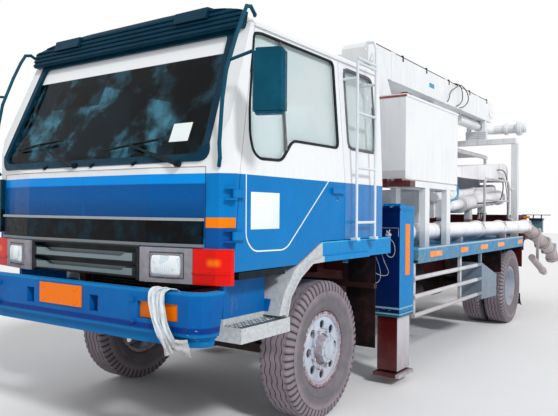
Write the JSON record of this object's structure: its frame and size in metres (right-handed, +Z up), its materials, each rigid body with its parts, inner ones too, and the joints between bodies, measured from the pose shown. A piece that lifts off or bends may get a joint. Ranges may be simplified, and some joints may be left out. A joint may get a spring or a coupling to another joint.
{
  "type": "truck mounted concrete pump",
  "caption": "Flat-fronted truck with a concrete pump, rear hopper, folding placing boom on a slewing turret, outrigger jacks and a pipe along its deck.",
  "frame": {"origin": "centre of the bounding box in X and Y, on the ground under the tyres", "axes": "+X towards the vehicle's left side, +Y towards its rear, +Z up"},
  "size_m": [3.0868, 9.409, 3.5708],
  "materials": {
    "cab_paint": "gloss",
    "white_paint": "gloss",
    "machine_paint": "satin, weathered",
    "deep_blue": "satin",
    "dark_red": "satin, weathered",
    "dark_steel": "satin",
    "galvanised": "satin",
    "bright_rod": "polished",
    "tyre": "matte",
    "glass": "clear",
    "dark_plastic": "matte",
    "seat_cloth": "woven",
    "lamp_lens": "clear lens",
    "signal_lens": "red and orange lens"
  },
  "bodies": {
    "chassis": {"chassis_frame": "dark_red", "axles": "dark_steel", "drive_line": "dark_steel", "chassis_tanks": "dark_steel", "cab_floor": "dark_plastic", "cab_front": "cab_paint", "cab_roof": "white_paint", "cab_back": "white_paint", "cab_glass": "glass", "cab_interior": "seat_cloth", "front_trim": "dark_plastic", "mud_flaps": "tyre", "grille": "galvanised", "lamps": "lamp_lens", "signal_lamps": "signal_lens", "bumper": "deep_blue", "mirrors": "dark_plastic", "ladder": "galvanised", "fenders": "galvanised", "pump_frame": "dark_red", "deck": "deep_blue", "side_guards": "galvanised", "water_tanks": "machine_paint", "delivery_pipe": "galvanised", "pump_unit": "machine_paint", "hopper": "dark_red", "handrails": "galvanised"},
    "knuckle_l": {"knuckle_left": "dark_steel"},
    "knuckle_r": {"knuckle_right": "dark_steel"},
    "wheel_front_l": {"rim_front_left": "galvanised", "tyre_front_left": "tyre"},
    "wheel_front_r": {"rim_front_right": "galvanised", "tyre_front_right": "tyre"},
    "wheel_rear_l": {"rim_rear_left": "galvanised", "tyre_rear_left": "tyre"},
    "wheel_rear_r": {"rim_rear_right": "galvanised", "tyre_rear_right": "tyre"},
    "door_l": {"door_left": "cab_paint", "door_glass_left": "glass"},
    "door_r": {"door_right": "cab_paint", "door_glass_right": "glass"},
    "outrigger_l": {"outrigger_left": "deep_blue"},
    "outrigger_r": {"outrigger_right": "deep_blue"},
    "jack_l": {"jack_left": "dark_red"},
    "jack_r": {"jack_right": "dark_red"},
    "turret_body": {"turret": "dark_red"},
    "boom_root": {"boom_1": "machine_paint"},
    "boom_middle": {"boom_2": "machine_paint"},
    "boom_tip": {"boom_3": "machine_paint"},
    "luff_tube": {"luff_barrel": "machine_paint"},
    "luff_piston": {"luff_rod": "bright_rod"},
    "grate": {"hopper_grate": "dark_steel"}
  },
  "joints": [
    {"name": "steer_left", "type": "hinge", "parent": "chassis", "child": "knuckle_l", "pos_m": [0.8, -3.155, 0.518], "axis": [0, 0, 1], "range_deg": [-35, 35]},
    {"name": "steer_right", "type": "hinge", "parent": "chassis", "child": "knuckle_r", "pos_m": [-0.8, -3.155, 0.518], "axis": [0, 0, 1], "range_deg": [-35, 35]},
    {"name": "spin_front_left", "type": "hinge", "parent": "knuckle_l", "child": "wheel_front_l", "pos_m": [0.975, -3.155, 0.518], "axis": [1, 0, 0], "continuous": true},
    {"name": "spin_front_right", "type": "hinge", "parent": "knuckle_r", "child": "wheel_front_r", "pos_m": [-0.975, -3.155, 0.518], "axis": [1, 0, 0], "continuous": true},
    {"name": "spin_rear_left", "type": "hinge", "parent": "chassis", "child": "wheel_rear_l", "pos_m": [0.885, 1.975, 0.518], "axis": [1, 0, 0], "continuous": true},
    {"name": "spin_rear_right", "type": "hinge", "parent": "chassis", "child": "wheel_rear_r", "pos_m": [-0.885, 1.975, 0.518], "axis": [1, 0, 0], "continuous": true},
    {"name": "door_swing_left", "type": "hinge", "parent": "chassis", "child": "door_l", "pos_m": [1.206, -4.394, 1.4], "axis": [0, 0, -1], "range_deg": [0, 62]},
    {"name": "door_swing_right", "type": "hinge", "parent": "chassis", "child": "door_r", "pos_m": [-1.206, -4.394, 1.4], "axis": [0, 0, 1], "range_deg": [0, 62]},
    {"name": "outrigger_reach_left", "type": "slide", "parent": "chassis", "child": "outrigger_l", "axis": [1, 0, 0], "range_m": [0, 0.6]},
    {"name": "outrigger_reach_right", "type": "slide", "parent": "chassis", "child": "outrigger_r", "axis": [-1, 0, 0], "range_m": [0, 0.6]},
    {"name": "jack_drop_left", "type": "slide", "parent": "outrigger_l", "child": "jack_l", "axis": [0, 0, -1], "range_m": [-0.3, 0.3]},
    {"name": "jack_drop_right", "type": "slide", "parent": "outrigger_r", "child": "jack_r", "axis": [0, 0, -1], "range_m": [-0.3, 0.3]},
    {"name": "slew", "type": "hinge", "parent": "chassis", "child": "turret_body", "pos_m": [0, -0.75, 2.315], "axis": [0, 0, 1], "range_deg": [-180, 180]},
    {"name": "luff", "type": "hinge", "parent": "turret_body", "child": "boom_root", "pos_m": [0.25, -0.96, 3.225], "axis": [1, 0, 0], "range_deg": [0, 85]},
    {"name": "fold_middle", "type": "hinge", "parent": "boom_root", "child": "boom_middle", "pos_m": [-0.06, 3.52, 3.275], "axis": [-1, 0, 0], "range_deg": [0, 180]},
    {"name": "fold_tip", "type": "hinge", "parent": "boom_middle", "child": "boom_tip", "pos_m": [-0.3, -0.53, 3.265], "axis": [1, 0, 0], "range_deg": [0, 180]},
    {"name": "luff_tube_swing", "type": "hinge", "parent": "turret_body", "child": "luff_tube", "pos_m": [0.25, -0.46, 2.85], "axis": [1, 0, 0], "range_deg": [0, 88]},
    {"name": "luff_rod_slide", "type": "slide", "parent": "luff_tube", "child": "luff_piston", "axis": [0, 0.9934, 0.1149], "range_m": [0, 0.86]},
    {"name": "grate_lift", "type": "hinge", "parent": "chassis", "child": "grate", "pos_m": [0, 3.448, 1.516], "axis": [1, 0, 0], "range_deg": [0, 85]}
  ],
  "couplings": [
    {"joint": "steer_right", "follows": "steer_left", "ratio": 1},
    {"joint": "luff_tube_swing", "follows": "luff", "ratio": 1.0163},
    {"joint": "luff_rod_slide", "follows": "luff", "m_per_rad": 0.56832}
  ]
}
